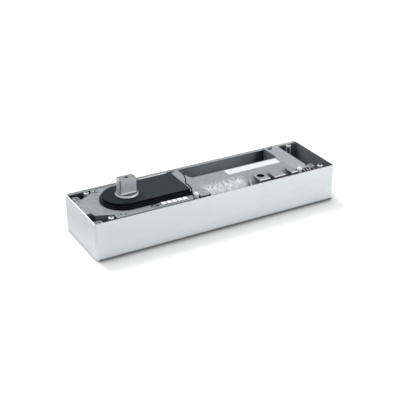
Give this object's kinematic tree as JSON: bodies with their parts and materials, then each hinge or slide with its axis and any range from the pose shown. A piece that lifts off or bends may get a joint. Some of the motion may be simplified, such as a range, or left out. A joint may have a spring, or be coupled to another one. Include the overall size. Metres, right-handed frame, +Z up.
{
  "type": "floor spring door closer",
  "caption": "Floor spring door closer in an open sheet steel floor box: cast head and spring housing, black cap, flat-form spindle, cam, carriage, piston and closing spring.",
  "frame": {"origin": "middle of the floor box's underside", "axes": "+X along the box from the spindle end to the foot end, +Z up along the spindle"},
  "size_m": [0.342, 0.0936, 0.078],
  "materials": {
    "box_steel": "satin zinc-plated sheet",
    "post_steel": "bright",
    "casting": "grey lacquer on a sand casting",
    "machined": "machined",
    "spindle_steel": "satin",
    "hard_steel": "ground",
    "zinc_screw": "zinc plated",
    "cap_black": "matt",
    "rubber_black": "matt",
    "bronze": "satin",
    "brass": "satin",
    "gasket": "fibre",
    "label_white": "bare coated paper",
    "spring_steel": "oiled"
  },
  "bodies": {
    "floor_unit": {"cement_box": "box_steel", "cover_posts": "post_steel", "head_casting": "casting", "spring_housing": "casting", "end_foot": "casting", "joint_gasket": "gasket", "joint_screws": "zinc_screw", "foot_screws": "zinc_screw", "chamber_cover": "machined", "cover_screws": "zinc_screw", "top_cap": "cap_black", "spindle_seal": "rubber_black", "upper_bearing": "bronze", "lower_bearing_outer_ring": "hard_steel", "lower_bearing_balls": "hard_steel", "rod_bush": "bronze", "closing_spring": "spring_steel", "spring_plug": "machined", "spring_plug_seal": "rubber_black", "filler_plug": "machined", "gallery_plugs": "post_steel"},
    "spindle_unit": {"spindle": "spindle_steel", "cam": "hard_steel", "cam_key": "machined", "cam_circlip": "spring_steel", "lower_bearing_inner_ring": "hard_steel"},
    "carriage_unit": {"carriage": "machined", "roller_pin": "hard_steel", "piston": "machined", "piston_ring": "spring_steel"},
    "roller_unit": {"roller": "hard_steel"},
    "speed_valve_unit": {"speed_valve": "brass", "speed_valve_seal": "rubber_black"},
    "latch_valve_unit": {"latch_valve": "brass", "latch_valve_seal": "rubber_black"},
    "levelling_far_unit": {"levelling_screw_far": "zinc_screw"},
    "levelling_near_unit": {"levelling_screw_near": "zinc_screw"},
    "levelling_foot_unit": {"levelling_screw_foot": "zinc_screw"}
  },
  "joints": [
    {"name": "spindle_turn", "type": "hinge", "parent": "floor_unit", "child": "spindle_unit", "pos_m": [-0.108, 0, 0.04], "axis": [0, 0, 1], "range_deg": [0, 130]},
    {"name": "carriage_slide", "type": "slide", "parent": "floor_unit", "child": "carriage_unit", "axis": [1, 0, 0], "range_m": [0, 0.0131], "deforming": ["closing_spring"]},
    {"name": "roller_spin", "type": "hinge", "parent": "carriage_unit", "child": "roller_unit", "pos_m": [-0.0885, 0, 0.03], "axis": [0, 0, 1], "continuous": true},
    {"name": "speed_valve_turn", "type": "hinge", "parent": "floor_unit", "child": "speed_valve_unit", "pos_m": [-0.087, -0.0352, 0.04], "axis": [0, 0, 1], "range_deg": [-180, 180]},
    {"name": "latch_valve_turn", "type": "hinge", "parent": "floor_unit", "child": "latch_valve_unit", "pos_m": [0.069, -0.0258, 0.045], "axis": [0, 0, 1], "range_deg": [-180, 180]},
    {"name": "levelling_far_turn", "type": "hinge", "parent": "floor_unit", "child": "levelling_far_unit", "pos_m": [-0.161, 0.0355, 0.04], "axis": [0, 0, 1], "range_deg": [-180, 180]},
    {"name": "levelling_near_turn", "type": "hinge", "parent": "floor_unit", "child": "levelling_near_unit", "pos_m": [-0.161, -0.0355, 0.04], "axis": [0, 0, 1], "range_deg": [-180, 180]},
    {"name": "levelling_foot_turn", "type": "hinge", "parent": "floor_unit", "child": "levelling_foot_unit", "pos_m": [0.1444, -0.029, 0.04], "axis": [0, 0, 1], "range_deg": [-180, 180]}
  ],
  "couplings": [
    {"joint": "carriage_slide", "follows": "spindle_turn", "m_per_rad": 0.0057296}
  ]
}
